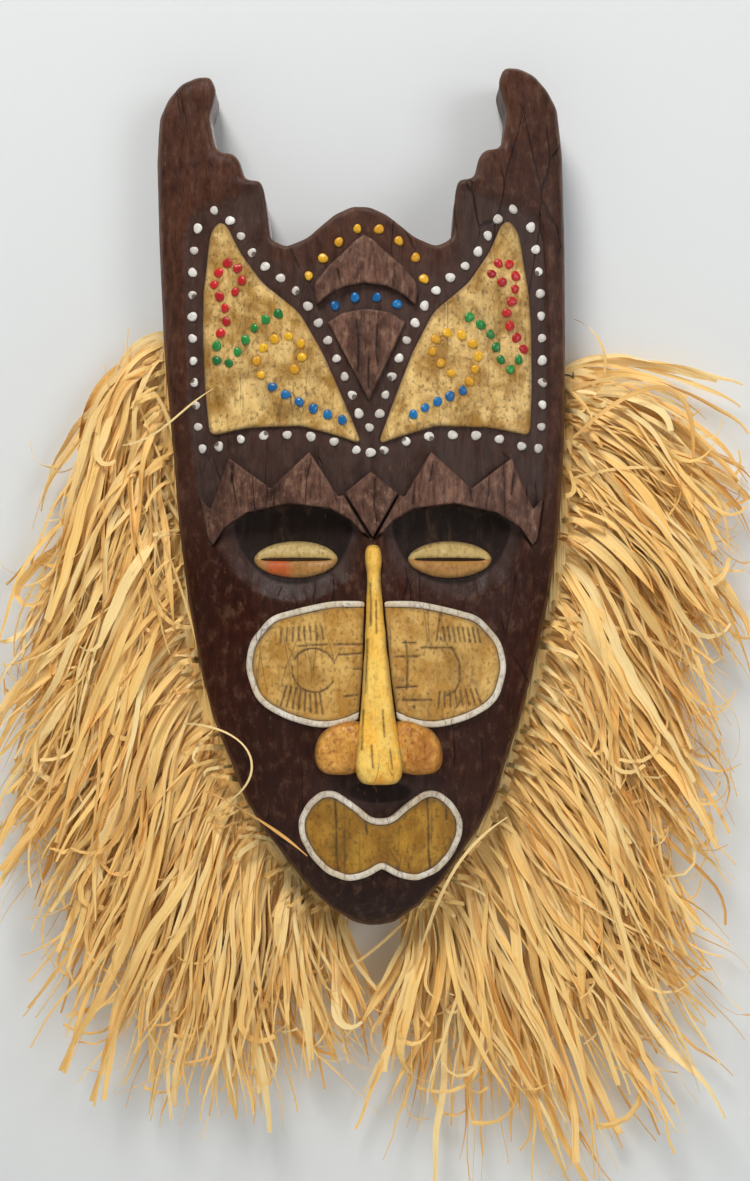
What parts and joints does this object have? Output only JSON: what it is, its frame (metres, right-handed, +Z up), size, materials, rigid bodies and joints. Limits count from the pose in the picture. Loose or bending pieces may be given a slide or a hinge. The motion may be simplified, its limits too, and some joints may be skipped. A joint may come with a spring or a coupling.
{
  "type": "carved wooden mask",
  "caption": "Horned carved wooden wall mask with painted panels, raised paint dots, a raffia mane along both sides and a hinged hanging ring on its back.",
  "frame": {"origin": "the point on the wall where the nail that carries the hanging ring comes out, behind the crest", "axes": "+Z up along the mask, +X to the right as one faces the mask, the face looks towards -Y and the back rim lies in the plane y = 0"},
  "size_m": [0.436, 0.075, 0.6486],
  "materials": {
    "stained_wood": "dark stained and varnished, worn along the carved edges",
    "cream_paint": "cream paint, aged and cracked over wood",
    "ochre_paint": "yellow ochre paint over wood",
    "pale_paint": "pale paint brushed along a raised edge",
    "white_paint": "thick white paint dots",
    "red_paint": "thick red paint dots",
    "green_paint": "thick green paint dots",
    "yellow_paint": "thick yellow paint dots",
    "blue_paint": "thick blue paint dots",
    "raffia": "dry split palm leaf",
    "plated_steel": "zinc plated and dulled",
    "steel_wire": "dull steel"
  },
  "bodies": {
    "mask": {"mask_board": "stained_wood", "crown_crescent": "stained_wood", "crown_wedge": "stained_wood", "brow_diamond": "stained_wood", "nose_ridge": "ochre_paint", "mouth_panel": "cream_paint", "mouth_rim": "pale_paint", "white_dots": "white_paint", "crest_yellow_dots": "yellow_paint", "crest_blue_dots": "blue_paint", "cord_tacks": "steel_wire", "hanger_strap": "plated_steel", "hanger_screw": "plated_steel", "left_wing_panel": "cream_paint", "left_brow": "stained_wood", "left_eye": "ochre_paint", "left_nose_wing": "ochre_paint", "left_cheek_panel": "cream_paint", "left_cheek_rim": "pale_paint", "left_raffia_cord": "raffia", "left_red_dots": "red_paint", "left_green_dots": "green_paint", "left_yellow_dots": "yellow_paint", "left_blue_dots": "blue_paint", "left_raffia_tuft_1": "raffia", "left_raffia_tuft_2": "raffia", "left_raffia_tuft_3": "raffia", "left_raffia_tuft_4": "raffia", "left_raffia_tuft_5": "raffia", "left_raffia_tuft_6": "raffia", "left_raffia_tuft_7": "raffia", "left_raffia_tuft_8": "raffia", "left_raffia_tuft_9": "raffia", "right_wing_panel": "cream_paint", "right_brow": "stained_wood", "right_eye": "ochre_paint", "right_nose_wing": "ochre_paint", "right_cheek_panel": "cream_paint", "right_cheek_rim": "pale_paint", "right_raffia_cord": "raffia", "right_red_dots": "red_paint", "right_green_dots": "green_paint", "right_yellow_dots": "yellow_paint", "right_blue_dots": "blue_paint", "right_raffia_tuft_1": "raffia", "right_raffia_tuft_2": "raffia", "right_raffia_tuft_3": "raffia", "right_raffia_tuft_4": "raffia", "right_raffia_tuft_5": "raffia", "right_raffia_tuft_6": "raffia", "right_raffia_tuft_7": "raffia", "right_raffia_tuft_8": "raffia", "right_raffia_tuft_9": "raffia"},
    "ring": {"hanger_ring": "plated_steel"}
  },
  "joints": [
    {"name": "ring_hinge", "type": "hinge", "parent": "mask", "child": "ring", "pos_m": [0, -0.0046, -0.013], "axis": [1, 0, 0], "range_deg": [0, 178]}
  ]
}
